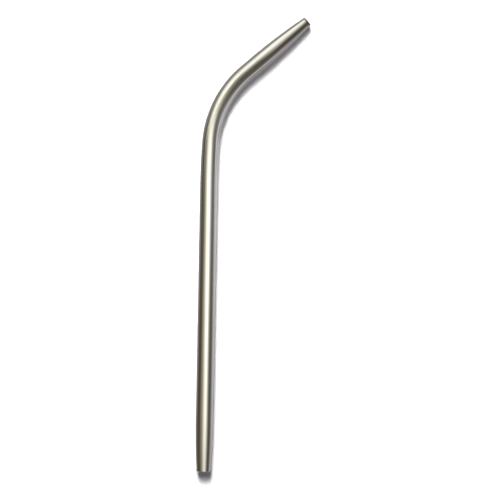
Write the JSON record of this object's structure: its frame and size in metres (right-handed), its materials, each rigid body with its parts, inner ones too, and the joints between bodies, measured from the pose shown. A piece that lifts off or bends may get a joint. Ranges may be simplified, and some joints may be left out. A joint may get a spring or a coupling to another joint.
{
  "type": "saliva ejector tip",
  "caption": "Bent steel suction tube with a tapered nozzle at one end and a tapered tail that plugs into a dental saliva ejector valve.",
  "frame": {"origin": "centre of the tail's open end, on the tube's axis", "axes": "+Y along the straight run, from the tail towards the bend; +X to the side that the nozzle bends to; +Z square to the bend's plane, up when the part lies on its side"},
  "size_m": [0.0384, 0.1627, 0.0064],
  "materials": {
    "tube_steel": "drawn stainless tube, electropolished to a soft satin shine",
    "turned_steel": "turned stainless, polished flush with the tube",
    "silver_braze": "silver brazing alloy, dressed flush and polished"
  },
  "bodies": {
    "root": {"cannula_tube": "tube_steel", "nozzle": "turned_steel", "tail_ferrule": "turned_steel", "nozzle_braze": "silver_braze", "tail_braze": "silver_braze"}
  },
  "joints": []
}
